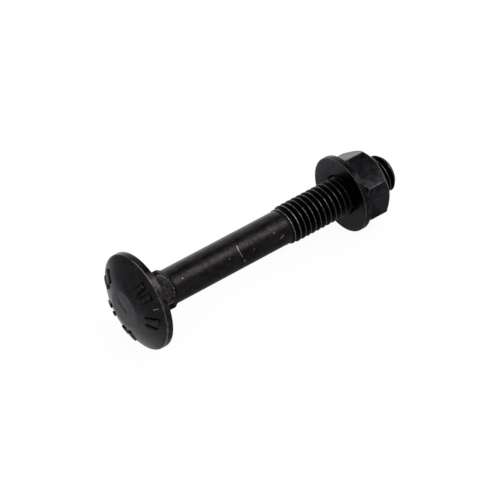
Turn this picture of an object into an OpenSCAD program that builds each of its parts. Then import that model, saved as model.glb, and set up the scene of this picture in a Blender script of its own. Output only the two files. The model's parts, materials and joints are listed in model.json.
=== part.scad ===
// Carriage bolt of nominal size M8 x 60, with the flat washer and hex nut that came on its thread.
// It lies on a level surface, on the rim of its head and the rim of the washer.
// Every piece is drawn upright about the bolt's axis, with the head's seat at height 0 and the thread
// above it, and lying() then tips it over. All sizes are in millimetres.

/* [Bolt] */
// Length from the seat of the head to the end of the thread
bolt_l = 59.6; // [50:0.1:120]
// Diameter of the plain shank, rolled down before threading
shank_d = 7; // [6.8:0.02:7.2]
// Diameter over the crests of the thread
thread_d = 7.87; // [7.76:0.01:7.97]
// Distance from one turn of the thread to the next
pitch = 1.25; // [1:0.05:1.5]
// Length of full thread, measured from the end
thread_l = 24.5; // [20:0.5:28]
// Length over which the thread runs out onto the shank
runout_l = 2.7; // [1.5:0.1:4]

/* [Head] */
// Diameter of the head
head_d = 19.5; // [19.35:0.05:20.65]
// Height of the head, from its seat to the crown
head_h = 4.25; // [4.12:0.01:4.88]
// Height of the upright band round the rim
rim_h = 1.4; // [1:0.05:1.8]
// Diameter of the flatter crown
crown_d = 7.6; // [5:0.1:10]
// Height by which the crown still rises above its own edge
crown_rise = 0.14; // [0.08:0.01:0.2]
// Distance by which the forged head sits off the shank's axis
head_shift = 0.4; // [0:0.05:0.8]

/* [Square neck] */
// Width across the flats of the neck
neck_w = 7.9; // [7.6:0.05:8.58]
// Diameter over the neck's rounded corners
neck_corner_d = 9.8; // [9:0.1:10.4]
// Length from the seat of the head to the end of the neck
neck_l = 5.8; // [4.6:0.1:7]
// Length of the cone that the corners end in
neck_cone_l = 1.9; // [1:0.1:2.4]
// Step left all round between the neck's end and the shank
neck_step = 0.15; // [0.05:0.01:0.3]
// Turn of the flats about the axis, away from level
neck_turn = 38.7; // [0:0.1:90]

/* [Washer] */
// Length gripped, from the seat of the head to the washer
grip_l = 48.25; // [38:0.05:49]
// Outer diameter of the washer
washer_d = 15.8; // [15.3:0.05:17]
// Thickness of the washer
washer_t = 1.2; // [1:0.05:1.8]
// Clearance between the washer's hole and the thread, all round
washer_clearance = 0.265; // [0.2:0.005:0.5]
// Gap left at the lowest point of that hole, where the bolt's weight bears on it
washer_gap = 0.065; // [0.04:0.005:0.1]
// Rounding that the punch left on the washer's upper edge
washer_round = 0.2; // [0.1:0.01:0.3]

/* [Nut] */
// Width across the flats of the nut
nut_w = 12.8; // [12.73:0.01:13]
// Height of the nut
nut_h = 6.2; // [5.9:0.05:6.8]
// Diameter of the round faces that the chamfers leave
nut_face_d = 12.3; // [11.6:0.05:12.6]
// Angle of the chamfers on the nut's corners, from the face
nut_chamfer = 43.5; // [20:0.5:50]
// Turn of the nut's corners about the axis, away from upright
nut_turn = -9; // [-30:0.5:30]
// Running clearance between the nut's bore and the thread, all round
thread_clearance = 0.05; // [0.02:0.005:0.09]
// Diameter by which the countersinks are wider than the thread
sink_extra = 0.6; // [0.4:0.05:0.9]

/* [Hidden] */
$fn = 96;
finish = "#26262a";
worn_finish = "#333338";

// Depth of an ISO thread on the bolt, for one unit of pitch
thread_depth_per_pitch = 0.6134;
// Stretch by which a cutting tool passes the face that it cuts
overcut = 1;

head_r = head_d / 2;
shank_r = shank_d / 2;
thread_r = thread_d / 2;
washer_r = washer_d / 2;
tip_r = thread_r - thread_depth_per_pitch * pitch;

// The dome is a sphere that passes through the rim's upper edge and the crown's edge
crown_edge_h = head_h - crown_rise;
dome_z = (pow(head_r, 2) - pow(crown_d / 2, 2) + pow(rim_h, 2) - pow(crown_edge_h, 2))
    / (2 * (rim_h - crown_edge_h));
dome_r = norm([head_r, rim_h - dome_z]);
crown_r = (pow(crown_d / 2, 2) + pow(crown_rise, 2)) / (2 * crown_rise);

// The thread starts where the run-out from the shank ends
thread_start = bolt_l - thread_l;
tip_chamfer = thread_r - tip_r;

washer_end = grip_l + washer_t;
nut_end = washer_end + nut_h;
hole_r = thread_r + washer_clearance;
// The bolt hangs in the hole, so the washer stands this much higher than the bolt's axis
washer_lift = washer_clearance - washer_gap;
bore_r = thread_r + thread_clearance;
sink_r = thread_r + sink_extra / 2;
nut_corner_r = nut_w / 2 / cos(30);
nut_corner_drop = (nut_corner_r - nut_face_d / 2) * tan(nut_chamfer);

// At rest the seat's edge and the washer's far edge both touch the surface
rest_head_r = head_r - head_shift;
rest_washer_r = washer_r - washer_lift;
lean = atan((rest_head_r - rest_washer_r) / washer_end);
seat_height = rest_head_r * cos(lean);
// The middle of the whole length, seen from above, stands over the origin
front_x = (crown_r - head_h) * cos(lean) + head_shift * sin(lean) - crown_r;
back_x = bolt_l * cos(lean) + tip_r * sin(lean);
middle_x = (front_x + back_x) / 2;

// Tips an upright piece over, head towards -X and thread towards +X
module lying() {
    translate([-middle_x, 0, seat_height])
        rotate([0, 90 + lean, 0])
            children();
}

// Domed head: an upright band, a shallow dome and a flatter crown, all one forging
module head() {
    translate([-head_shift, 0, 0])
        mirror([0, 0, 1])
            intersection() {
                cylinder(r = head_r, h = head_h);
                translate([0, 0, dome_z]) sphere(r = dome_r);
                translate([0, 0, head_h - crown_r]) sphere(r = crown_r);
            }
}

// Square neck with turned corners, which end in a cone just above the shank
module neck() {
    corner_r = neck_corner_d / 2;
    end_r = shank_r + neck_step;
    rotate([0, 0, neck_turn])
        intersection() {
            rotate_extrude()
                polygon([
                    [0, -rim_h / 2],
                    [corner_r, -rim_h / 2],
                    [corner_r, neck_l - neck_cone_l],
                    [end_r, neck_l],
                    [0, neck_l]
                ]);
            translate([-neck_w / 2, -neck_w / 2, -rim_h / 2])
                cube([neck_w, neck_w, neck_l + rim_h]);
        }
}

// Shank, run-out and thread in one outline, with the thread drawn over its crests
module shank() {
    rotate_extrude()
        polygon([
            [0, 0],
            [shank_r, 0],
            [shank_r, thread_start - runout_l],
            [thread_r, thread_start],
            [thread_r, bolt_l - tip_chamfer],
            [tip_r, bolt_l],
            [0, bolt_l]
        ]);
}

module bolt() {
    color(finish)
        lying()
            union() {
                head();
                neck();
                shank();
            }
}

// Punched washer: its upper edge is drawn in by the punch, the lower one is sharp
module washer() {
    color(worn_finish)
        lying()
            translate([-washer_lift, 0, grip_l])
                rotate_extrude()
                    polygon(concat(
                        [
                            [hole_r, 0],
                            [hole_r, washer_t],
                            [washer_r, washer_t]
                        ],
                        [for (a = [0:15:90]) [
                            washer_r - washer_round * (1 - cos(a)),
                            washer_round * (1 - sin(a))
                        ]]
                    ));
}

// Hex nut, turned to a chamfer on both faces and countersunk at both ends of its bore
module nut() {
    face_r = nut_face_d / 2;
    sink_depth = sink_r - bore_r;
    color(finish)
        lying()
            translate([0, 0, washer_end])
                difference() {
                    intersection() {
                        rotate([0, 0, nut_turn])
                            cylinder(r = nut_corner_r, h = nut_h, $fn = 6);
                        rotate_extrude()
                            polygon([
                                [0, 0],
                                [face_r, 0],
                                [nut_corner_r, nut_corner_drop],
                                [nut_corner_r, nut_h - nut_corner_drop],
                                [face_r, nut_h],
                                [0, nut_h]
                            ]);
                    }
                    translate([0, 0, -overcut])
                        cylinder(r = bore_r, h = nut_h + 2 * overcut);
                    for (end = [0, 1])
                        translate([0, 0, end * nut_h])
                            mirror([0, 0, end])
                                rotate_extrude()
                                    polygon([
                                        [0, -overcut],
                                        [sink_r + overcut, -overcut],
                                        [bore_r, sink_depth],
                                        [0, sink_depth]
                                    ]);
                }
}

bolt();
washer();
nut();
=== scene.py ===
# Black carriage bolt with its washer and nut: forged, threaded and worn, on a pale floor
import json
import math

import bpy
from mathutils import Matrix, Vector


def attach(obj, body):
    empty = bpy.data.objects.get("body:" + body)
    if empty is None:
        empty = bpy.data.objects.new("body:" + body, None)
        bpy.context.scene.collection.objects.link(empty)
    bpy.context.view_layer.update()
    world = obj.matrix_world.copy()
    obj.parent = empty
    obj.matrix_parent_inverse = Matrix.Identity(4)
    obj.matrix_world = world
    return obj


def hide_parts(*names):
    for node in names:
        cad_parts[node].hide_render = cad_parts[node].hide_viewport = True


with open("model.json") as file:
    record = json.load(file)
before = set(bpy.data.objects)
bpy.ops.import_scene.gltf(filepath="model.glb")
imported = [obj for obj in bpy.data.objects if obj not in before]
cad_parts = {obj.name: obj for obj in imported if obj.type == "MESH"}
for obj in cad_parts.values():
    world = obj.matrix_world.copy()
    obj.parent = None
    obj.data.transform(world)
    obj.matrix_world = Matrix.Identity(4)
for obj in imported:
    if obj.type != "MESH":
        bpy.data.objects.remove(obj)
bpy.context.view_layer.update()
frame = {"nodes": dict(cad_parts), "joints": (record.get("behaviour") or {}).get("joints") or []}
print("frame loaded:", ", ".join(sorted(frame["nodes"])))

millimetre = 0.001

# what the three pieces share, in millimetres from the seat of the head along the bolt
fit = {
    "gripLength": 48.25,        # seat of the head to the washer
    "washerThickness": 1.2,
    "nutHeight": 6.2,
    "pitch": 1.25,              # right-hand thread, one turn to the next
    "crestRadius": 3.935,       # over the bolt's crests
    "crestPhase": 0.576,        # height of a crest at angle 0, past a whole number of turns
    "crestFlat": 0.156,
    "crestRounding": 0.05,
    "flankAngle": 30,
    "rootRounding": 0.18,
    "stepsPerTurn": 72,         # faces round the thread
    "roundSteps": 144,          # round the large turned shapes
    "smallSteps": 96,           # round the small ones
    "arcSteps": 4,              # along a rounded corner
    "weldGap": 0.0005,          # points closer than this become one
    "smoothAngle": 32,          # degrees up to which neighbouring faces are shaded as one
}
fit["nutStart"] = fit["gripLength"] + fit["washerThickness"]

# the joint's axis and the nut's middle say how the bolt lies
slideAxis = Vector(frame["joints"][0]["axis"])
nutMiddle = Vector(frame["joints"][1]["pos_m"])
seatCentre = nutMiddle - slideAxis * (fit["nutStart"] + fit["nutHeight"] / 2) * millimetre
lean = math.acos(slideAxis.dot(Vector((0, 0, 1))))
lying = Matrix.Translation(seatCentre) @ Matrix.Rotation(lean, 4, "Y")
layDown = lying @ Matrix.Scale(millimetre, 4)


# selecting and finishing

def deselectAll():
    if bpy.context.mode != "OBJECT":
        bpy.ops.object.mode_set(mode="OBJECT")
    bpy.ops.object.select_all(action="DESELECT")


def makeActive(obj):
    deselectAll()
    obj.select_set(True)
    bpy.context.view_layer.objects.active = obj


def startEdit(obj, kind="VERT"):
    makeActive(obj)
    bpy.ops.object.mode_set(mode="EDIT")
    bpy.ops.mesh.select_mode(type=kind)
    bpy.ops.mesh.select_all(action="SELECT")


def endEdit():
    bpy.ops.object.mode_set(mode="OBJECT")


def turnRound(angle):
    # with no window, transform.rotate turns the other way and needs its centre
    bpy.ops.transform.rotate(value=-angle, orient_axis="Z", center_override=(0, 0, 0))


def weld(obj):
    startEdit(obj)
    bpy.ops.mesh.remove_doubles(threshold=fit["weldGap"])
    bpy.ops.mesh.normals_make_consistent(inside=False)
    endEdit()


def applyModifier(obj, kind, **settings):
    makeActive(obj)
    bpy.ops.object.modifier_add(type=kind)
    modifier = obj.modifiers[-1]
    for name, value in settings.items():
        setattr(modifier, name, value)
    bpy.ops.object.modifier_apply(modifier=modifier.name)


def combine(obj, other, operation):
    applyModifier(obj, "BOOLEAN", operation=operation, solver="EXACT", object=other)
    bpy.data.objects.remove(other)


def roundEdges(obj, width, angle, segments=3):
    applyModifier(obj, "BEVEL", width=width, segments=segments, limit_method="ANGLE",
                  angle_limit=math.radians(angle), harden_normals=False)


def finishPiece(obj, body, node, material):
    # the piece is laid down at its place, then handed to the frame
    obj.matrix_world = layDown
    makeActive(obj)
    bpy.ops.object.transform_apply(location=True, rotation=True, scale=True)
    bpy.ops.object.shade_smooth_by_angle(angle=math.radians(fit["smoothAngle"]))
    obj.data.materials.clear()
    obj.data.materials.append(material)
    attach(obj, body)
    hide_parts(node)
    print(obj.name, "has", len(obj.data.polygons), "faces")


# outlines and turned shapes, drawn upright about Z in millimetres

def roundedPath(corners):
    # corners are (radius, height, rounding); each rounding becomes an arc
    steps = fit["arcSteps"]
    path = []
    for index, (across, height, rounding) in enumerate(corners):
        here = Vector((across, height))
        if rounding == 0 or index in (0, len(corners) - 1):
            path.append(here)
            continue
        back = (Vector(corners[index - 1][:2]) - here).normalized()
        ahead = (Vector(corners[index + 1][:2]) - here).normalized()
        half = back.angle(ahead) / 2
        centre = here + (back + ahead).normalized() * rounding / math.sin(half)
        arm = here + back * rounding / math.tan(half) - centre
        turn = math.copysign(math.pi - 2 * half, back.cross(ahead))
        for step in range(steps + 1):
            part = -turn * step / steps
            path.append(centre + Matrix.Rotation(part, 2) @ arm)
    return path


def sphereArc(fromRadius, toRadius, topHeight, sphereRadius, steps):
    # points on a dome whose top is at topHeight
    points = []
    for step in range(steps + 1):
        across = fromRadius + (toRadius - fromRadius) * step / steps
        drop = sphereRadius - math.sqrt(sphereRadius ** 2 - across ** 2)
        points.append((across, topHeight - drop, 0))
    return points


def drawOutline(name, path):
    # one vertex, extruded point by point
    deselectAll()
    bpy.ops.mesh.primitive_plane_add(size=1)
    obj = bpy.context.active_object
    obj.name = obj.data.name = name
    startEdit(obj)
    bpy.ops.mesh.merge(type="CENTER")
    bpy.ops.transform.translate(value=(path[0][0], 0, path[0][1]))
    for before, after in zip(path, path[1:]):
        move = (after[0] - before[0], 0, after[1] - before[1])
        bpy.ops.mesh.extrude_region_move(TRANSFORM_OT_translate={"value": move})
    endEdit()
    return obj


def turnOnLathe(name, path, steps):
    obj = drawOutline(name, path)
    startEdit(obj)
    bpy.ops.mesh.spin(steps=steps, angle=math.tau, center=(0, 0, 0), axis=(0, 0, 1))
    weld(obj)
    return obj


def cutFlat(obj, height, removeAbove, fill=True):
    startEdit(obj)
    bpy.ops.mesh.bisect(plane_co=(0, 0, height), plane_no=(0, 0, 1), use_fill=fill,
                        clear_outer=removeAbove, clear_inner=not removeAbove)
    endEdit()


def rollThread(name, start, end, crestRadius, rootRadius=None):
    # a turn's outline from crest to crest, screwed round and trimmed level at both ends
    pitch = fit["pitch"]
    slope = math.tan(math.radians(fit["flankAngle"]))
    halfCrest = fit["crestFlat"] / 2
    valley = crestRadius - (pitch / 2 - halfCrest) / slope
    corners = [(crestRadius, 0, 0), (crestRadius, halfCrest, fit["crestRounding"])]
    if rootRadius is None:
        corners.append((valley, pitch / 2, fit["rootRounding"]))
    else:
        reach = halfCrest + (crestRadius - rootRadius) * slope
        corners.append((rootRadius, reach, 0))
        corners.append((rootRadius, pitch - reach, 0))
    corners.append((crestRadius, pitch - halfCrest, fit["crestRounding"]))
    corners.append((crestRadius, pitch, 0))
    firstTurn = math.floor((start - fit["crestPhase"]) / pitch) - 1
    lift = firstTurn * pitch + fit["crestPhase"]
    path = [(point[0], point[1] + lift) for point in roundedPath(corners)]
    obj = drawOutline(name, path)
    turns = math.ceil((end - lift) / pitch) + 1
    steps = fit["stepsPerTurn"]
    applyModifier(obj, "SCREW", axis="Z", screw_offset=pitch, iterations=turns,
                  steps=steps, render_steps=steps)
    weld(obj)
    return obj


# node materials: a socket that takes part in Python sums

class Wire:
    def __init__(self, sheet, socket):
        self.sheet = sheet
        self.socket = socket

    def __add__(self, other):
        return self.sheet.sum("ADD", self, other)

    def __sub__(self, other):
        return self.sheet.sum("SUBTRACT", self, other)

    def __rsub__(self, other):
        return self.sheet.sum("SUBTRACT", other, self)

    def __mul__(self, other):
        return self.sheet.sum("MULTIPLY", self, other)

    def __truediv__(self, other):
        return self.sheet.sum("DIVIDE", self, other)

    def __pow__(self, other):
        return self.sheet.sum("POWER", self, other)

    def __abs__(self):
        return self.sheet.sum("ABSOLUTE", self)

    __radd__ = __add__
    __rmul__ = __mul__


class Sheet:
    def __init__(self, tree):
        self.tree = tree
        tree.nodes.clear()

    def add(self, nodeType, settings=None, inputs=None, output=0):
        node = self.tree.nodes.new(nodeType)
        for name, value in (settings or {}).items():
            if name == "stops":
                self.setStops(node.color_ramp, value)
            else:
                setattr(node, name, value)
        for name, value in (inputs or {}).items():
            if isinstance(value, Wire):
                self.tree.links.new(value.socket, node.inputs[name])
            else:
                node.inputs[name].default_value = value
        return Wire(self, node.outputs[output] if node.outputs else None)

    def setStops(self, ramp, stops):
        while len(ramp.elements) < len(stops):
            ramp.elements.new(0.5)
        for element, (place, colour) in zip(ramp.elements, stops):
            element.position = place
            element.color = (*colour, 1)

    def sum(self, operation, first, second=None):
        inputs = {0: first}
        if second is not None:
            inputs[1] = second
        return self.add("ShaderNodeMath", {"operation": operation}, inputs)

    def ease(self, value, low, high):
        # 0 at low, 1 at high, with a soft start and end
        return self.add("ShaderNodeMapRange", {"interpolation_type": "SMOOTHSTEP"},
                        {"Value": value, "From Min": low, "From Max": high})

    def mixColour(self, factor, first, second):
        # sockets 0, 6 and 7 are the colour mix's factor and its two colours
        return self.add("ShaderNodeMix", {"data_type": "RGBA"},
                        {0: factor, 6: first, 7: second}, output=2)

    def vector(self, operation, first, second=None, output=0):
        inputs = {0: first}
        if second is not None:
            inputs[1] = second
        return self.add("ShaderNodeVectorMath", {"operation": operation}, inputs, output)

    def noise(self, vector, size, detail, roughness=0.55):
        # size is the blotches' rough width in millimetres
        return self.add("ShaderNodeTexNoise", {"noise_dimensions": "3D"},
                        {"Vector": vector, "Scale": 1 / size, "Detail": detail,
                         "Roughness": roughness})


def splitVector(sheet, vector):
    node = sheet.add("ShaderNodeSeparateXYZ", None, {0: vector}).socket.node
    return [Wire(sheet, output) for output in node.outputs]


def boltPlace(sheet):
    # Object coordinates turned back upright, in millimetres from the seat of the head
    place = sheet.add("ShaderNodeTexCoord", None, None, output=3)
    return sheet.add("ShaderNodeMapping", {"vector_type": "TEXTURE"},
                     {"Vector": place, "Location": seatCentre, "Rotation": (0, lean, 0),
                      "Scale": (millimetre, millimetre, millimetre)})


# black finish on steel, what wears it off, and the dead black that paints shade

steel = {
    "black": (0.0415, 0.0372, 0.0435),
    "sootAndShade": (0.009, 0.0085, 0.0095),    # dead black: blotches of soot, and painted shade in hollows and between the turns
    "pale": (0.06, 0.055, 0.064),       # mottling of the black
    "brown": (0.105, 0.084, 0.068),     # where the black has gone rusty
    "fleck": (0.17, 0.155, 0.14),       # thin spots
    "crest": (0.21, 0.2, 0.19),         # tops of the turns, rubbed thin
    "worn": (0.3, 0.285, 0.28),         # steel that shows at the edges
    "scratch": (0.75, 0.72, 0.68),
    "roughness": 0.21,
    "roughnessSpread": 0.1,
    "grain": 0.14,                      # width of the finish's grain, millimetres
    "grainDepth": 0.012,
    "speckWidth": 0.35,                 # specks that break up the worn edges
    "mottleWidth": 1.1,
    "mottleFade": (0.4, 0.7),
    "waveWidth": 1.6,                   # slow unevenness left by the forging
    "waveDepth": 0.03,
}


class Coat:
    # the black finish as layers, with worn places and painted shade laid over it one by one
    def __init__(self, name):
        self.material = bpy.data.materials.new(name)
        self.material.use_nodes = True
        self.sheet = Sheet(self.material.node_tree)
        self.place = boltPlace(self.sheet)
        self.x, self.y, self.height = splitVector(self.sheet, self.place)
        self.across = (self.x ** 2 + self.y ** 2) ** 0.5
        self.grain = self.sheet.noise(self.place, steel["grain"], detail=3)
        self.specks = self.sheet.noise(self.place, steel["speckWidth"], detail=3, roughness=0.7)
        mottle = self.sheet.noise(self.place, steel["mottleWidth"], detail=5, roughness=0.65)
        mottle = self.sheet.ease(mottle, *steel["mottleFade"])
        self.colour = self.sheet.mixColour(mottle, rgb("black"), rgb("pale"))
        self.roughness = steel["roughness"] + (self.grain - 0.5) * steel["roughnessSpread"]

    def fromAxis(self, shift):
        # distance from an axis that is shifted along X
        return ((self.x - shift) ** 2 + self.y ** 2) ** 0.5

    def ringDistance(self, radius, level, shift):
        # distance from a circle about that axis
        return ((self.fromAxis(shift) - radius) ** 2 + (self.height - level) ** 2) ** 0.5

    def streakDistance(self, start, end):
        # distance from a straight stretch between two places
        arm = Vector(end) - Vector(start)
        unit = arm.normalized()
        sheet = self.sheet
        offset = sheet.vector("SUBTRACT", self.place, start)
        along = sheet.vector("DOT_PRODUCT", offset, unit, output=1)
        along = sheet.sum("MINIMUM", sheet.sum("MAXIMUM", along, 0), arm.length)
        foot = sheet.add("ShaderNodeVectorMath", {"operation": "SCALE"}, {0: unit, "Scale": along})
        return sheet.vector("LENGTH", sheet.vector("SUBTRACT", offset, foot), output=1)

    def near(self, distance, reach, core=0.35):
        # 1 up to a core, and fading to 0 at the reach
        return 1 - self.sheet.ease(distance, reach * core, reach)

    def above(self, level, soft=0.1):
        return self.sheet.ease(self.height, level - soft, level + soft)

    def between(self, low, high, soft=0.1):
        return self.above(low, soft) * (1 - self.above(high, soft))

    def patchy(self, patches):
        return self.sheet.ease(self.specks, *patches)

    def blotches(self, pattern):
        size, low, high, detail, strength = pattern
        noise = self.sheet.noise(self.place, size, detail, 0.62)
        return self.sheet.ease(noise, low, high) * strength

    def layOver(self, mask, finish, roughness=None):
        # the finish covers what is there as far as the mask goes
        self.colour = self.sheet.mixColour(mask, self.colour, rgb(finish))
        if roughness is not None:
            self.roughness = self.roughness + (roughness - self.roughness) * mask

    def close(self):
        sheet = self.sheet
        wave = sheet.noise(self.place, steel["waveWidth"], detail=2)
        height = self.grain * steel["grainDepth"] + wave * steel["waveDepth"]
        bump = sheet.add("ShaderNodeBump", None,
                         {"Strength": 1.0, "Distance": millimetre, "Height": height})
        shader = sheet.add("ShaderNodeBsdfPrincipled", None,
                           {"Base Color": self.colour, "Metallic": 1.0, "Roughness": self.roughness,
                            "Normal": bump})
        sheet.add("ShaderNodeOutputMaterial", None, {"Surface": shader})
        return self.material


def rgb(finish):
    return (*steel[finish], 1)


# the bolt

bolt = {
    "length": 59.6,             # seat of the head to the end
    "shankRadius": 3.5,
    "threadLength": 24.5,
    "runoutLength": 2.7,
    "headRadius": 9.75,
    "headHeight": 4.25,
    "rimHeight": 1.4,
    "rimRounding": 0.42,
    "seatRounding": 0.22,
    "crownRadius": 3.8,
    "crownRise": 0.14,
    "crispWidth": 0.1,          # narrow faces on both sides keep the crown's edge crisp
    "headShift": 0.4,           # the forged head sits off the axis
    "rimBulge": 0.34,           # how far the forging spread on the side that the head is shifted to
    "rimBulgeFade": 4,          # power by which the bulge dies away towards the middle
    "neckWidth": 7.9,
    "neckCornerRadius": 4.9,
    "neckLength": 5.8,
    "neckConeLength": 1.9,
    "neckStep": 0.15,
    "neckTurn": 38.7,           # degrees
    "neckRounding": 0.12,
    "tipChamfer": 0.767,        # down to the root of the thread
    "markAngles": (-148, -96, 1, 48, 105),  # pairs of plain raised bars on the dome, degrees
    "markSpread": 8,            # from the middle of a pair to each of its bars
    "markFrom": 5.8,            # reach of a bar from the head's middle
    "markTo": 8.4,
    "markWidth": 0.95,
    "markHeight": 0.3,
    "markFoot": 1.2,            # a bar starts this high above the seat, inside the dome
    "markRounding": 0.15,       # of a bar's corners
    "markEdgeRounding": 0.07,   # round its top
    "dentFrom": (-1.95, 2.9),   # knock across the crown
    "dentTo": (0.15, -1.2),
    "dentWidth": 1.7,
    "dentDepth": 0.07,
}


# the dome is a sphere through the rim's edge and the crown's edge
crownEdge = bolt["headHeight"] - bolt["crownRise"]
crownSphere = (bolt["crownRadius"] ** 2 + bolt["crownRise"] ** 2) / (2 * bolt["crownRise"])
domeMiddle = (bolt["headRadius"] ** 2 - bolt["crownRadius"] ** 2
              + bolt["rimHeight"] ** 2 - crownEdge ** 2) / (2 * (bolt["rimHeight"] - crownEdge))
domeSphere = math.hypot(bolt["headRadius"], bolt["rimHeight"] - domeMiddle)


def buildHead():
    headRadius = bolt["headRadius"]
    crisp = bolt["crispWidth"]
    crown = bolt["crownRadius"]
    corners = sphereArc(0, crown - crisp, bolt["headHeight"], crownSphere, steps=5)
    corners.append((crown, crownEdge, 0))
    corners += sphereArc(crown + crisp, headRadius, domeMiddle + domeSphere, domeSphere, steps=14)
    corners[-1] = (headRadius, bolt["rimHeight"], bolt["rimRounding"])
    corners.append((headRadius, 0, bolt["seatRounding"]))
    corners.append((0, 0, 0))
    path = [(across, -height) for across, height in roundedPath(corners)]
    head = turnOnLathe("head", path, fit["roundSteps"])
    combine(head, buildMarks(), "UNION")
    combine(head, buildDent(), "DIFFERENCE")
    bulgeRim(head)
    startEdit(head)
    bpy.ops.transform.translate(value=(-bolt["headShift"], 0, 0))
    endEdit()
    return head


def bulgeRim(head):
    # every point moves outwards, most at the rim and on the side that the head is shifted to
    for point in head.data.vertices:
        across = math.hypot(point.co.x, point.co.y)
        arm = max(across, 1)
        side = max(-point.co.x / arm, 0) ** 2
        fade = (across / bolt["headRadius"]) ** bolt["rimBulgeFade"]
        growth = 1 + bolt["rimBulge"] * fade * side / arm
        point.co.x *= growth
        point.co.y *= growth


def buildBar(angle):
    length = bolt["markTo"] - bolt["markFrom"]
    tall = bolt["headHeight"]
    deselectAll()
    bpy.ops.mesh.primitive_cube_add(size=1)
    bar = bpy.context.active_object
    startEdit(bar)
    bpy.ops.transform.resize(value=(length, bolt["markWidth"], tall))
    bpy.ops.mesh.bevel(offset=bolt["markRounding"], segments=3, affect="EDGES")
    middle = (bolt["markFrom"] + length / 2, 0, -bolt["markFoot"] - tall / 2)
    bpy.ops.transform.translate(value=middle)
    turnRound(math.radians(angle))
    endEdit()
    return bar


def buildMarks():
    # bars cut off at a dome that stands a little higher than the head's own
    bars = []
    for middle in bolt["markAngles"]:
        bars.append(buildBar(middle - bolt["markSpread"]))
        bars.append(buildBar(middle + bolt["markSpread"]))
    deselectAll()
    for bar in bars:
        bar.select_set(True)
    bpy.context.view_layer.objects.active = bars[0]
    bpy.ops.object.join()
    marks = bars[0]
    marks.name = marks.data.name = "marks"
    raised = domeSphere + bolt["markHeight"]
    wide = bolt["headRadius"] - 0.5     # past the bars' outer ends
    low = 1                             # and below their feet
    corners = sphereArc(0, wide, domeMiddle + raised, raised, steps=24)
    corners.append((wide, low, 0))
    corners.append((0, low, 0))
    path = [(across, -height) for across, height, rounding in corners]
    combine(marks, turnOnLathe("markDome", path, fit["smallSteps"]), "INTERSECT")
    roundEdges(marks, bolt["markEdgeRounding"], angle=40, segments=2)
    return marks


def buildDent():
    # a long thin ball that grazes the crown
    start = Vector(bolt["dentFrom"])
    arm = Vector(bolt["dentTo"]) - start
    middle = start + arm / 2
    deselectAll()
    bpy.ops.mesh.primitive_uv_sphere_add(segments=32, ring_count=16, radius=1)
    dent = bpy.context.active_object
    dent.name = dent.data.name = "dent"
    startEdit(dent)
    bpy.ops.transform.resize(value=(arm.length / 2, bolt["dentWidth"] / 2, bolt["dentDepth"]))
    turnRound(math.atan2(arm.y, arm.x))
    bpy.ops.transform.translate(value=(middle.x, middle.y, -crownHeight(middle.length)))
    endEdit()
    return dent


def crownHeight(across):
    return bolt["headHeight"] - crownSphere + math.sqrt(crownSphere ** 2 - across ** 2)


def buildNeck():
    # a turned blank whose corners end in a cone, cut to a square
    corner = bolt["neckCornerRadius"]
    end = bolt["neckLength"]
    coneStart = end - bolt["neckConeLength"]
    endRadius = bolt["shankRadius"] + bolt["neckStep"]
    sunk = -bolt["rimHeight"] / 2
    path = [(0, sunk), (corner, sunk), (corner, coneStart), (endRadius, end), (0, end)]
    turned = turnOnLathe("neckTurned", path, fit["roundSteps"])
    deselectAll()
    bpy.ops.mesh.primitive_cube_add(size=1)
    neck = bpy.context.active_object
    neck.name = neck.data.name = "neck"
    startEdit(neck)
    tall = 2 * end + 2
    bpy.ops.transform.resize(value=(bolt["neckWidth"], bolt["neckWidth"], tall))
    turnRound(math.radians(bolt["neckTurn"]))
    endEdit()
    combine(neck, turned, "INTERSECT")
    roundEdges(neck, bolt["neckRounding"], angle=24)
    return neck


def buildShank():
    start = bolt["length"] - bolt["threadLength"]
    fadeStart = start - bolt["runoutLength"]
    buried = 1                  # the shank starts this far inside the head
    shank = rollThread("shank", fadeStart, bolt["length"], fit["crestRadius"])
    # the turns fade into the shank where the dies ran out
    for point in shank.data.vertices:
        around = Vector((point.co.x, point.co.y))
        part = min(max((point.co.z - fadeStart) / bolt["runoutLength"], 0), 1)
        fade = part * part * (3 - 2 * part)
        wanted = bolt["shankRadius"] + (around.length - bolt["shankRadius"]) * fade
        around *= wanted / around.length
        point.co.x, point.co.y = around
    cutFlat(shank, bolt["length"], removeAbove=True)
    cutFlat(shank, fadeStart, removeAbove=False, fill=False)
    startEdit(shank, "EDGE")
    bpy.ops.mesh.select_all(action="DESELECT")
    bpy.ops.mesh.select_non_manifold()
    bpy.ops.mesh.extrude_region_move(TRANSFORM_OT_translate={"value": (0, 0, -fadeStart - buried)})
    bpy.ops.mesh.edge_face_add()
    endEdit()
    weld(shank)
    # the end is chamfered by what a wide cone leaves of it
    wide = 6
    tipRadius = fit["crestRadius"] - bolt["tipChamfer"]
    path = [(0, -2 * buried), (wide, -2 * buried), (wide, bolt["length"] - wide + tipRadius),
            (tipRadius, bolt["length"]), (0, bolt["length"])]
    envelope = turnOnLathe("envelope", path, fit["stepsPerTurn"])
    combine(shank, envelope, "INTERSECT")
    return shank


def buildBolt():
    piece = buildHead()
    combine(piece, buildNeck(), "UNION")
    combine(piece, buildShank(), "UNION")
    weld(piece)
    piece.name = piece.data.name = "boltForging"
    return piece


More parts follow.
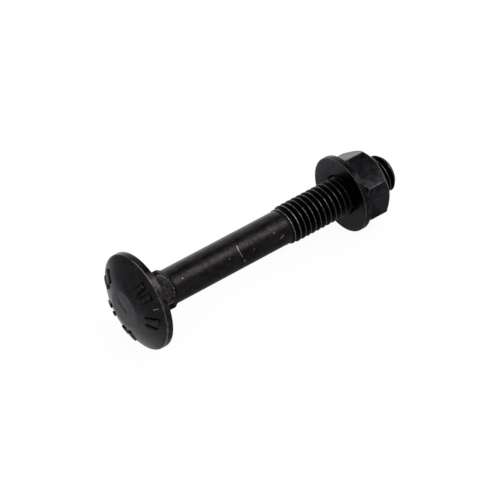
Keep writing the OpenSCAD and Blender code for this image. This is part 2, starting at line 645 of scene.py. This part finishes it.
boltWear = {
    # blotches: width in millimetres, noise at which they start and are full, detail, strength
    "shankClouds": (2.4, 0.45, 0.6, 4, 0.45),
    "shankRust": (0.7, 0.46, 0.62, 6, 0.45),
    "shankGrit": (0.24, 0.5, 0.64, 6, 0.6),
    "shankGritGroups": (1.7, 0.4, 0.6, 4, 1),
    "shankFlecks": (0.22, 0.62, 0.7, 6, 0.45),
    "crestKnocks": (0.25, 0.56, 0.62, 5, 0.7),
    "firstTurnKnocks": (0.3, 0.46, 0.56, 4, 0.8),
    "headThinSpots": (1.3, 0.5, 0.64, 6, 0.6),
    "headSpeckle": (0.25, 0.5, 0.7, 4, 0.25),
    "headPits": (0.4, 0.66, 0.7, 3, 0.8),
    "bandSoot": (0.9, 0.47, 0.55, 4, 0.85),
    "rust": (0.7, 0.42, 0.58, 6, 0.8),
    "rustFlecks": (0.3, 0.58, 0.66, 6, 1),
    "farRust": (2.2, 0.56, 0.66, 5, 0.8),
    "rimKnocks": (0.3, 0.42, 0.52, 4, 1),
    "crownThinSpots": (0.9, 0.46, 0.6, 6, 0.7),
    "crownSoot": (0.5, 0.56, 0.64, 5, 0.5),
    "markRust": (0.5, 0.46, 0.56, 4, 1),
    "markSoot": (0.35, 0.54, 0.6, 3, 1),
    "markFlecks": (0.3, 0.56, 0.64, 4, 1),
    "neckSoot": (0.8, 0.44, 0.6, 4, 0.5),
    "neckRust": (1.1, 0.45, 0.6, 6, 0.35),
    "neckFlecks": (0.35, 0.6, 0.68, 6, 0.6),
    # patches: speckle noise at which an edge starts to be worn and is fully worn
    "crestPatches": (0.28, 0.6),
    "rimPatches": (0.36, 0.54),
    "markSidePatches": (0.3, 0.5),
    "markShoulderPatches": (0.36, 0.5),
    "neckEdgePatches": (0.5, 0.62),
    # shares: away from the rust on the rim, and beside it
    "markFootShadeShare": (0.2, 0.85),
    "markRustShare": (0.1, 0.9),
    "markShoulderShare": (0.3, 1),
    "markFleckShare": (0.2, 0.6),
    # strengths
    "rubbedSheenStrength": 0.7,
    "farRimLoss": 0.7,          # how much less worn the rim is on the far side
    "dentShadeStrength": 0.55,
    "neckSootEverywhere": 0.35,
    # lines, reaches and places, in millimetres
    "rubbedSheenSide": 208,          # degrees about the axis, where the shank's highlight falls and it is rubbed along its length
    "rubbedSheenFade": (0.93, 0.985),        # cosine of the angle from there, at the start and the full
    "crestWidth": 0.09,         # half the width of the bright line on each crest
    "crestFade": (-0.05, 0.15),         # past the shank's radius, where a fading turn gets its line
    "flankShadeStart": 0.07,         # the painted shade on the flanks starts this far from a crest
    "firstTurns": (-2, 0.7),    # from the start of the full thread
    "rimWidth": 0.24,
    "rimFade": (-1.5, 1.5),     # along Y, where the wear of the rim dies away
    "knockedRim": ((-10.1, 0.3, -1.4), (-9.2, -3.8, -1.4)),     # edge knocked to bare steel
    "knockWidth": 0.17,
    "knockReach": 1.4,
    "rustOnRim": ((-9.4, -3.4, -0.4), (-5.8, -8.3, -0.4)),
    "rustReach": 1.7,
    "farRustReach": 1.1,
    "dentShadeLine": ((-2.05, 2.35), (-0.45, -0.85)),      # X and Y on the crown
    "dentShadeReach": 1.1,
    "markFootShadeReach": 0.5,
    "markRustReach": 5.5,
    "neckEdgeWidth": 0.13,
    "neckRustReach": 5.6,
    "coneShadeWidth": 0.16,
    "domeScratch": ((-4.65, -6.8), (-5.2, -7.6)),       # X and Y on the dome
    "domeScratchWidth": 0.11,
    # each scratch is a chain of places on the shank: degrees about the axis, height
    "shankScratches": (
        ((205, 21.3), (219, 21.2), (233, 21.25), (245, 21.45)),
        ((257, 21.7), (267.5, 21.95)),
        ((252, 30.6), (244.5, 31.45)),
        ((224, 29.6), (226.5, 29.8)),
        ((213, 7.9), (216.5, 8.05)),
        ((240, 24.3), (240, 24.5)),
        ((230.5, 18.5), (231, 18.7)),
    ),
    "scratchWidth": 0.075,
}


def placeOnShank(angle, height):
    turned = math.radians(angle)
    return bolt["shankRadius"] * math.cos(turned), bolt["shankRadius"] * math.sin(turned), height


def placeOnDome(x, y):
    across = math.hypot(x + bolt["headShift"], y)
    return x, y, -domeMiddle - math.sqrt(domeSphere ** 2 - across ** 2)


def placeOnCrown(x, y):
    return x, y, -crownHeight(math.hypot(x + bolt["headShift"], y))


def paintShank(coat):
    wear = boltWear
    onShank = coat.between(bolt["neckLength"], bolt["length"] - bolt["threadLength"])
    coat.layOver(coat.blotches(wear["shankClouds"]) * onShank, "sootAndShade", roughness=0.2)
    # a dull and gritty stretch along the shank, laid where its highlight falls: rubbed wear, and partly
    # painted sheen
    side = math.radians(wear["rubbedSheenSide"])
    facing = (coat.x * math.cos(side) + coat.y * math.sin(side)) / bolt["shankRadius"]
    rubbedSheen = coat.sheet.ease(facing, *wear["rubbedSheenFade"]) * onShank
    coat.layOver(rubbedSheen * wear["rubbedSheenStrength"], "black", roughness=0.42)
    coat.layOver(coat.blotches(wear["shankRust"]) * rubbedSheen, "brown")
    grit = coat.blotches(wear["shankGrit"]) * coat.blotches(wear["shankGritGroups"])
    coat.layOver(grit * rubbedSheen, "fleck")
    coat.layOver(coat.blotches(wear["shankFlecks"]) * onShank, "fleck")
    for chain in wear["shankScratches"]:
        places = [placeOnShank(angle, height) for angle, height in chain]
        for start, end in zip(places, places[1:]):
            scratched = coat.near(coat.streakDistance(start, end), wear["scratchWidth"])
            coat.layOver(scratched, "scratch")


def paintThread(coat):
    sheet = coat.sheet
    wear = boltWear
    start = bolt["length"] - bolt["threadLength"]
    turn = sheet.sum("ARCTAN2", coat.y, coat.x) / math.tau
    winding = (coat.height - fit["crestPhase"]) / fit["pitch"] - turn
    fromCrest = abs(sheet.sum("FRACT", winding + 0.5) - 0.5) * fit["pitch"]
    # the thread without its end face
    onThread = coat.above(start - bolt["runoutLength"] / 2, bolt["runoutLength"] / 2)
    onThread = onThread * (1 - coat.above(bolt["length"] - 0.04, soft=0.03))
    # painted shade: the flanks between the turns are darkened to dead black
    flankShade = sheet.ease(fromCrest, wear["flankShadeStart"], wear["flankShadeStart"] * 2)
    coat.layOver(flankShade * onThread, "sootAndShade", roughness=0.3)
    crests = coat.near(fromCrest, wear["crestWidth"])
    fadeStart, fadeEnd = wear["crestFade"]
    risen = sheet.ease(coat.across, bolt["shankRadius"] + fadeStart, bolt["shankRadius"] + fadeEnd)
    lines = crests * onThread * risen
    coat.layOver(lines * coat.patchy(wear["crestPatches"]), "crest", roughness=0.42)
    coat.layOver(lines * coat.blotches(wear["crestKnocks"]), "scratch", roughness=0.42)
    # the first turns are knocked brighter
    first, last = wear["firstTurns"]
    firstTurns = crests * coat.between(start + first, start + last, soft=0.3)
    coat.layOver(firstTurns * coat.blotches(wear["firstTurnKnocks"]), "scratch", roughness=0.5)


def acrossHead(coat):
    # distance from the head's own axis, as it is and with the rim's bulge taken back
    shift = -bolt["headShift"]
    fromAxis = coat.fromAxis(shift)
    side = coat.sheet.sum("MAXIMUM", (shift - coat.x) / fromAxis, 0) ** 2
    fade = (fromAxis / bolt["headRadius"]) ** bolt["rimBulgeFade"]
    return fromAxis, fromAxis - side * bolt["rimBulge"] * fade


def paintHead(coat):
    sheet = coat.sheet
    wear = boltWear
    onHead = 1 - coat.above(0)
    fromAxis, unspread = acrossHead(coat)
    pastRim = unspread - bolt["headRadius"]
    rimEdge = (pastRim ** 2 + (coat.height + bolt["rimHeight"]) ** 2) ** 0.5
    onBand = sheet.ease(pastRim, -0.15, -0.03) * onHead
    # thin spots and pits all over the head
    coat.layOver(coat.blotches(wear["headThinSpots"]) * onHead, "pale", roughness=0.3)
    coat.layOver(coat.blotches(wear["headSpeckle"]) * onHead, "fleck")
    coat.layOver(coat.blotches(wear["headPits"]) * onHead, "sootAndShade")
    coat.layOver(coat.blotches(wear["bandSoot"]) * onBand, "sootAndShade")
    # rust on the rim, most of it beside the neck
    rust = coat.near(coat.streakDistance(*wear["rustOnRim"]), wear["rustReach"]) * onHead
    coat.layOver(rust * coat.blotches(wear["rust"]), "brown", roughness=0.34)
    coat.layOver(rust * onBand * coat.blotches(wear["rustFlecks"]), "fleck")
    farRust = coat.near(rimEdge, wear["farRustReach"]) * onHead
    coat.layOver(farRust * coat.blotches(wear["farRust"]), "brown", roughness=0.34)
    # the rim's edge is worn, less so on the far side, where the band is sooty
    rubbedRim = 1 - sheet.ease(coat.y, *wear["rimFade"]) * wear["farRimLoss"]
    coat.layOver(onBand * (1 - rubbedRim), "sootAndShade")
    worn = coat.near(rimEdge, wear["rimWidth"]) * coat.patchy(wear["rimPatches"])
    coat.layOver(worn * rubbedRim, "worn")
    knocked = coat.near(coat.streakDistance(*wear["knockedRim"]), wear["knockReach"], core=0.6)
    knocked = knocked * coat.near(rimEdge, wear["knockWidth"])
    coat.layOver(knocked * coat.blotches(wear["rimKnocks"]), "scratch", roughness=0.6)
    # the crown is mottled, with painted shade along its dent
    crown = bolt["crownRadius"]
    onCrown = (1 - sheet.ease(fromAxis, crown - 0.05, crown + 0.05)) * onHead
    coat.layOver(coat.blotches(wear["crownThinSpots"]) * onCrown, "pale", roughness=0.26)
    coat.layOver(coat.blotches(wear["crownSoot"]) * onCrown, "sootAndShade")
    # painted shade along the dent across the crown
    ends = [placeOnCrown(x, y) for x, y in wear["dentShadeLine"]]
    dentShade = coat.near(coat.streakDistance(*ends), wear["dentShadeReach"], core=0.1)
    coat.layOver(dentShade * wear["dentShadeStrength"], "sootAndShade")
    paintMarks(coat, onHead, unspread)
    ends = [placeOnDome(x, y) for x, y in wear["domeScratch"]]
    scratched = coat.near(coat.streakDistance(*ends), wear["domeScratchWidth"])
    coat.layOver(scratched, "scratch")


def fromMarks(coat):
    # distance from the nearest bar, seen from above the head
    sheet = coat.sheet
    x = coat.x + bolt["headShift"]
    spread = math.tan(math.radians(bolt["markSpread"]))
    halfLength = (bolt["markTo"] - bolt["markFrom"]) / 2
    nearest = None
    for middle in bolt["markAngles"]:
        angle = math.radians(middle)
        outward = x * math.cos(angle) + coat.y * math.sin(angle)
        sideways = abs(coat.y * math.cos(angle) - x * math.sin(angle))
        pastSide = abs(sideways - outward * spread) - bolt["markWidth"] / 2
        pastEnd = abs(outward - bolt["markFrom"] - halfLength) - halfLength
        past = sheet.sum("MAXIMUM", sheet.sum("MAXIMUM", pastSide, pastEnd), 0)
        nearest = past if nearest is None else sheet.sum("MINIMUM", nearest, past)
    return nearest


def shared(rusty, share):
    # from the first share, away from the rust, to the second beside it
    away, beside = share
    return rusty * (beside - away) + away


def paintMarks(coat, onHead, unspread):
    # painted shade at their feet and on the sides of the bars near the rust, brown on top where the
    # rust is near
    sheet = coat.sheet
    wear = boltWear
    rusty = coat.near(coat.streakDistance(*wear["rustOnRim"]), wear["markRustReach"], core=0.6)
    footShade = coat.near(fromMarks(coat), wear["markFootShadeReach"], core=0.2) * onHead
    coat.layOver(footShade * shared(rusty, wear["markFootShadeShare"]), "sootAndShade", roughness=0.3)
    raised = (unspread ** 2 + (coat.height + domeMiddle) ** 2) ** 0.5 - domeSphere
    onSides = sheet.ease(raised, 0.015, 0.04) * onHead
    # painted shade on the bars' sides near the rust; elsewhere pale worn flecks, which also paint light
    # into the sides' shade
    coat.layOver(onSides * rusty, "sootAndShade", roughness=0.4)
    worn = coat.patchy(wear["markSidePatches"]) * (1 - rusty)
    coat.layOver(onSides * worn, "fleck", roughness=0.5)
    top = bolt["markHeight"]
    onTops = sheet.ease(raised, top * 0.6, top * 0.95) * onHead
    coat.layOver(onTops, "black", roughness=0.28)
    rust = coat.blotches(wear["markRust"]) * shared(rusty, wear["markRustShare"])
    coat.layOver(onTops * rust, "brown", roughness=0.3)
    coat.layOver(onTops * coat.blotches(wear["markSoot"]) * rusty, "sootAndShade")
    onShoulder = onTops * (1 - sheet.ease(raised, top * 0.9, top * 0.99))
    worn = coat.patchy(wear["markShoulderPatches"]) * shared(rusty, wear["markShoulderShare"])
    coat.layOver(onShoulder * worn, "fleck")
    flecks = coat.blotches(wear["markFlecks"]) * shared(rusty, wear["markFleckShare"])
    coat.layOver(onTops * flecks, "fleck")


def paintNeck(coat):
    sheet = coat.sheet
    wear = boltWear
    turned = math.radians(bolt["neckTurn"])
    first = abs(coat.x * math.cos(turned) + coat.y * math.sin(turned))
    second = abs(coat.y * math.cos(turned) - coat.x * math.sin(turned))
    half = bolt["neckWidth"] / 2
    onFlat = sheet.ease(sheet.sum("MAXIMUM", first, second), half - 0.1, half - 0.03)
    corner = bolt["neckCornerRadius"]
    coneStart = bolt["neckLength"] - bolt["neckConeLength"]
    slope = (corner - bolt["shankRadius"] - bolt["neckStep"]) / bolt["neckConeLength"]
    onNeck = coat.between(0.05, bolt["neckLength"] + 0.1, soft=0.05)
    drop = sheet.sum("MAXIMUM", (coat.height - coneStart) * slope, 0)
    fromCone = abs(coat.across - corner + drop)
    sootAndShade = coat.blotches(wear["neckSoot"]) + wear["neckSootEverywhere"]
    coat.layOver(sootAndShade * onNeck, "sootAndShade", roughness=0.3)
    rusty = coat.near(coat.height, wear["neckRustReach"], core=0.3) * onNeck
    coat.layOver(coat.blotches(wear["neckRust"]) * rusty, "brown")
    # painted shade: the cone and the turned corners beside the flats are darkened to dead black
    coneShade = coat.near(fromCone, wear["coneShadeWidth"], core=0.5) * (1 - onFlat) * onNeck
    coat.layOver(coneShade, "sootAndShade", roughness=0.5)
    coat.layOver(coat.blotches(wear["neckFlecks"]) * onNeck, "fleck")
    edge = coat.near(fromCone, wear["neckEdgeWidth"]) * onFlat * onNeck
    coat.layOver(edge * coat.patchy(wear["neckEdgePatches"]), "worn")


def boltFinish():
    coat = Coat("bolt_black_steel")
    paintShank(coat)
    paintThread(coat)
    paintHead(coat)
    paintNeck(coat)
    return coat.close()


finishPiece(buildBolt(), "bolt", "bolt", boltFinish())


# the washer

washer = {
    "radius": 7.9,
    "lift": 0.2,                # the bolt hangs in the hole
    "holeRadius": 4.2,
    "punchRounding": 0.2,
    "edgeRounding": 0.06,
    "nearEdgePlace": (-0.09, 0.03),     # worn line on the edge towards the head, from its corner
    "nearEdgeWidth": 0.15,
    "nearEdgePatches": (0.36, 0.56),
    "farEdgeWidth": 0.1,
    "farEdgePatches": (0.42, 0.58),
    "rimShade": (1.2, 0.3, 0.6, 4, 0.75),        # blotches, as on the bolt
}


def buildWasher():
    near = fit["gripLength"]
    far = near + fit["washerThickness"]
    # the outline starts and ends on the near face
    corners = [(washer["holeRadius"] + 1, near, 0),
               (washer["radius"], near, washer["punchRounding"]),
               (washer["radius"], far, washer["edgeRounding"]),
               (washer["holeRadius"], far, washer["edgeRounding"]),
               (washer["holeRadius"], near, washer["edgeRounding"]),
               (washer["holeRadius"] + 1, near, 0)]
    ring = turnOnLathe("washerRing", roundedPath(corners), fit["roundSteps"])
    startEdit(ring)
    bpy.ops.transform.translate(value=(-washer["lift"], 0, 0))
    endEdit()
    return ring


def washerFinish():
    coat = Coat("washer_black_steel")
    near = fit["gripLength"]
    far = near + fit["washerThickness"]
    radius = washer["radius"]
    shift = -washer["lift"]
    outward, onward = washer["nearEdgePlace"]
    fromEdge = coat.ringDistance(radius + outward, near + onward, shift)
    nearEdge = coat.near(fromEdge, washer["nearEdgeWidth"])
    coat.layOver(nearEdge * coat.patchy(washer["nearEdgePatches"]), "worn", roughness=0.5)
    # painted shade: blotches darken the rim band and its highlight
    onRim = coat.sheet.ease(coat.fromAxis(shift), radius - 0.12, radius - 0.02)
    coat.layOver(onRim * coat.blotches(washer["rimShade"]), "sootAndShade")
    farEdge = coat.near(coat.ringDistance(radius, far, shift), washer["farEdgeWidth"])
    coat.layOver(farEdge * coat.patchy(washer["farEdgePatches"]), "fleck")
    return coat.close()


finishPiece(buildWasher(), "washer", "washer", washerFinish())


# the nut

nut = {
    "width": 12.8,
    "faceRadius": 6.15,
    "chamferAngle": 43.5,
    "turn": -9,                 # degrees, of a corner from straight down
    "edgeRounding": 0.1,
    "chamferRounding": 0.06,
    "sinkRadius": 4.235,        # of the countersinks
    "boreRadius": 3.375,
    "threadRadius": 3.99,
    "overcut": 1,               # how far a tool passes the faces
    "flatClouds": (1.5, 0.42, 0.6, 4, 0.6),     # blotches, as on the bolt
    "flatFlecks": (0.32, 0.62, 0.7, 5, 0.35),
    "flatPits": (0.45, 0.64, 0.68, 3, 1),
    "chamferWidth": 0.12,       # worn line along a chamfer's edge
    "chamferPatches": (0.34, 0.54),
    "cornerPatches": (0.46, 0.6),
}


def buildNut():
    low = fit["nutStart"]
    high = low + fit["nutHeight"]
    cornerRadius = nut["width"] / 2 / math.cos(math.pi / 6)
    drop = (cornerRadius - nut["faceRadius"]) * math.tan(math.radians(nut["chamferAngle"]))
    deselectAll()
    bpy.ops.mesh.primitive_cylinder_add(vertices=6, radius=cornerRadius, depth=fit["nutHeight"] + 1,
                                        location=(0, 0, (low + high) / 2))
    piece = bpy.context.active_object
    bpy.ops.object.transform_apply(location=True, rotation=True, scale=True)
    piece.name = piece.data.name = "hexNut"
    startEdit(piece)
    # a cylinder's first corner is at +Y
    turnRound(math.radians(nut["turn"] - 30))
    endEdit()
    roundEdges(piece, nut["edgeRounding"], angle=40)
    wide = cornerRadius + 0.5   # well past the corners
    path = [(0, low), (nut["faceRadius"], low), (cornerRadius, low + drop), (wide, low + drop),
            (wide, high - drop), (cornerRadius, high - drop), (nut["faceRadius"], high), (0, high)]
    combine(piece, turnOnLathe("chamfers", path, fit["roundSteps"]), "INTERSECT")
    roundEdges(piece, nut["chamferRounding"], angle=25, segments=2)
    past = nut["overcut"]
    bore = nut["boreRadius"]
    tap = rollThread("tap", low - past, high + past, nut["threadRadius"], bore)
    cutFlat(tap, low - past, removeAbove=False)
    cutFlat(tap, high + past, removeAbove=True)
    combine(piece, tap, "DIFFERENCE")
    # the countersinks slope at 45 degrees
    sink = nut["sinkRadius"]
    for face, inward in ((low, 1), (high, -1)):
        outside = face - inward * past
        inside = face + inward * (sink - bore)
        path = [(0, outside), (sink + past, outside), (bore, inside), (0, inside)]
        combine(piece, turnOnLathe("countersink", path, fit["smallSteps"]), "DIFFERENCE")
    weld(piece)
    return piece


def nutFinish():
    coat = Coat("nut_black_steel")
    sheet = coat.sheet
    apothem = nut["width"] / 2
    flats = None
    for side in range(3):
        angle = math.radians(nut["turn"] + 30 + 60 * side)
        reach = abs(coat.x * math.cos(angle) + coat.y * math.sin(angle))
        flats = reach if flats is None else sheet.sum("MAXIMUM", flats, reach)
    middle = fit["nutStart"] + fit["nutHeight"] / 2
    fromEnd = fit["nutHeight"] / 2 - abs(coat.height - middle)
    cone = nut["faceRadius"] + fromEnd / math.tan(math.radians(nut["chamferAngle"]))
    onFlat = sheet.ease(flats, apothem - 0.1, apothem - 0.02)
    coat.layOver(coat.blotches(nut["flatClouds"]) * onFlat, "sootAndShade")
    coat.layOver(coat.blotches(nut["flatFlecks"]) * onFlat, "fleck")
    coat.layOver(coat.blotches(nut["flatPits"]) * onFlat, "sootAndShade")
    chamferEdge = coat.near(abs(coat.across - cone), nut["chamferWidth"]) * onFlat
    coat.layOver(chamferEdge * coat.patchy(nut["chamferPatches"]), "worn", roughness=0.5)
    cornerRadius = apothem / math.cos(math.pi / 6)
    corner = sheet.ease(coat.across, cornerRadius - 0.12, cornerRadius - 0.03)
    coat.layOver(corner * coat.patchy(nut["cornerPatches"]), "worn", roughness=0.5)
    # painted shade: the tapped thread and the countersinks are darkened inside
    inside = 1 - sheet.ease(coat.across, nut["sinkRadius"], nut["sinkRadius"] + 0.05)
    coat.layOver(inside, "sootAndShade", roughness=0.3)
    return coat.close()


finishPiece(buildNut(), "nut", "nut", nutFinish())


# floor, light and camera

studio = {
    "floorSize": 4,
    "floorColour": (0.8, 0.8, 0.8, 1),
    "floorWhite": 1.07,         # strength of white that the camera sees
    "floorKeep": 0.12,          # share of the lit floor, with its shadow, that the camera sees
    "glossKeep": 0.3,           # the same share in the reflections
    "floorReflected": 0.1,
    # the metal mirrors a brighter floor behind the bolt: from dark to bright in metres, strength
    "brightFloorX": (-0.045, 0.0),
    "brightFloorY": (0.005, 0.04),
    "brightFloor": 0.95,
    # and pools of light on the floor: middle and reach in metres, strength
    "floorPools": (((-0.038, 0.008), (0.016, 0.022), 0.55), ((-0.021, -0.025), (0.009, 0.009), 0.45),
                   ((0.016, -0.002), (0.006, 0.008), 0.14), ((0.034, -0.022), (0.01, 0.01), 0.12)),
    "poolFade": (0.4, 1.4),     # in reaches from a pool's middle
    "skyForDiffuse": 0.8,
    # brightness of the reflected sky, by degrees from overhead towards the front
    "skyBands": ((-90, 1.2), (-70, 1.02), (-56, 0.8), (-45, 0.55), (-34, 0.32), (-22, 0.18),
                 (10, 0.18), (30, 0.6), (42, 0.46), (60, 0.34), (90, 0.27)),
    "skyLeft": 0.3,
    "skyLeftFade": (-0.35, 0.35),       # along X, from that brightness to the bands
    "softbox": {"direction": (0.46, -0.34, 0.82), "distance": 0.9, "along": 0.9, "across": 0.36,
                "radiance": 1.35},
}

camera = {
    "lens": 216,
    "sensorWidth": 36,
    "clip": (0.01, 20),
    "azimuth": -38.504,         # degrees, 0 looks along +Y
    "elevation": 45.212,
    "distance": 0.57419,
    "lookAt": (-0.0019, 0.0, 0.00677),
}


def rayKind(sheet):
    path = sheet.add("ShaderNodeLightPath").socket.node
    return [Wire(sheet, path.outputs[name]) for name in ("Is Camera Ray", "Is Glossy Ray")]


def buildFloor():
    deselectAll()
    bpy.ops.mesh.primitive_plane_add(size=studio["floorSize"])
    floor = bpy.context.active_object
    floor.name = "floor"
    material = bpy.data.materials.new("pale_floor")
    material.use_nodes = True
    sheet = Sheet(material.node_tree)
    isCamera, isGlossy = rayKind(sheet)
    x, y = splitVector(sheet, sheet.add("ShaderNodeTexCoord", None, None, output=3))[:2]
    # the reflections see it brighter behind the bolt and in pools beside it
    behind = sheet.ease(y, *studio["brightFloorY"]) * sheet.ease(x, *studio["brightFloorX"])
    reflected = behind * studio["brightFloor"] + studio["floorReflected"]
    for (middleX, middleY), (reachX, reachY), strength in studio["floorPools"]:
        fromPool = (((x - middleX) / reachX) ** 2 + ((y - middleY) / reachY) ** 2) ** 0.5
        reflected = reflected + (1 - sheet.ease(fromPool, *studio["poolFade"])) * strength
    lit = sheet.add("ShaderNodeBsdfDiffuse", None, {"Color": studio["floorColour"]})
    strength = isCamera * studio["floorWhite"] + reflected * isGlossy
    white = sheet.add("ShaderNodeEmission", None, {"Strength": strength})
    share = isCamera * (1 - studio["floorKeep"]) + isGlossy * (1 - studio["glossKeep"])
    mixed = sheet.add("ShaderNodeMixShader", None, {0: share, 1: lit, 2: white})
    sheet.add("ShaderNodeOutputMaterial", None, {"Surface": mixed})
    floor.data.materials.append(material)


def buildSky():
    world = bpy.data.worlds.new("studio")
    bpy.context.scene.world = world
    world.use_nodes = True
    sheet = Sheet(world.node_tree)
    isCamera, isGlossy = rayKind(sheet)
    x, y, height = splitVector(sheet, sheet.add("ShaderNodeTexCoord", None, None, output=0))
    around = sheet.sum("ARCTAN2", 0 - y, height) / math.pi + 0.5
    # the ramp holds half of each grey, so that none is past 1, and is doubled after it
    stops = [((angle + 90) / 180, (grey / 2, grey / 2, grey / 2)) for angle, grey in studio["skyBands"]]
    band = sheet.add("ShaderNodeValToRGB", {"stops": stops}, {0: around}) * 2
    fromLeft = sheet.ease(x, *studio["skyLeftFade"])
    reflected = studio["skyLeft"] + (band - studio["skyLeft"]) * fromLeft
    unseen = isGlossy * reflected + (1 - isGlossy) * studio["skyForDiffuse"]
    strength = isCamera + (1 - isCamera) * unseen
    background = sheet.add("ShaderNodeBackground", None, {"Strength": strength})
    sheet.add("ShaderNodeOutputWorld", None, {"Surface": background})


def addSoftbox():
    # an area light that faces the bolt, its long side nearest to the bolt's length
    box = studio["softbox"]
    back = Vector(box["direction"]).normalized()
    light = bpy.data.lights.new("softbox", "AREA")
    light.shape = "RECTANGLE"
    light.size = box["along"]
    light.size_y = box["across"]
    light.energy = box["radiance"] * box["along"] * box["across"] * math.pi
    lamp = bpy.data.objects.new("softbox", light)
    bpy.context.scene.collection.objects.link(lamp)
    along = (Vector((1, 0, 0)) - back * back.x).normalized()
    facing = Matrix((along, back.cross(along), back)).transposed().to_4x4()
    lamp.matrix_world = Matrix.Translation(back * box["distance"]) @ facing
    lamp.visible_camera = False


def placeCamera():
    data = bpy.data.cameras.new("photoCamera")
    data.lens = camera["lens"]
    data.sensor_width = camera["sensorWidth"]
    data.clip_start, data.clip_end = camera["clip"]
    eye = bpy.data.objects.new("photoCamera", data)
    bpy.context.scene.collection.objects.link(eye)
    around = math.radians(camera["azimuth"])
    above = math.radians(camera["elevation"])
    level = math.cos(above)
    back = Vector((math.sin(around) * level, -math.cos(around) * level, math.sin(above)))
    eye.location = Vector(camera["lookAt"]) + back * camera["distance"]
    eye.rotation_euler = back.to_track_quat("Z", "Y").to_euler()
    bpy.context.scene.camera = eye


buildFloor()
buildSky()
addSoftbox()
placeCamera()
bpy.context.scene.view_settings.view_transform = "Standard"
print("floor, light and camera set")
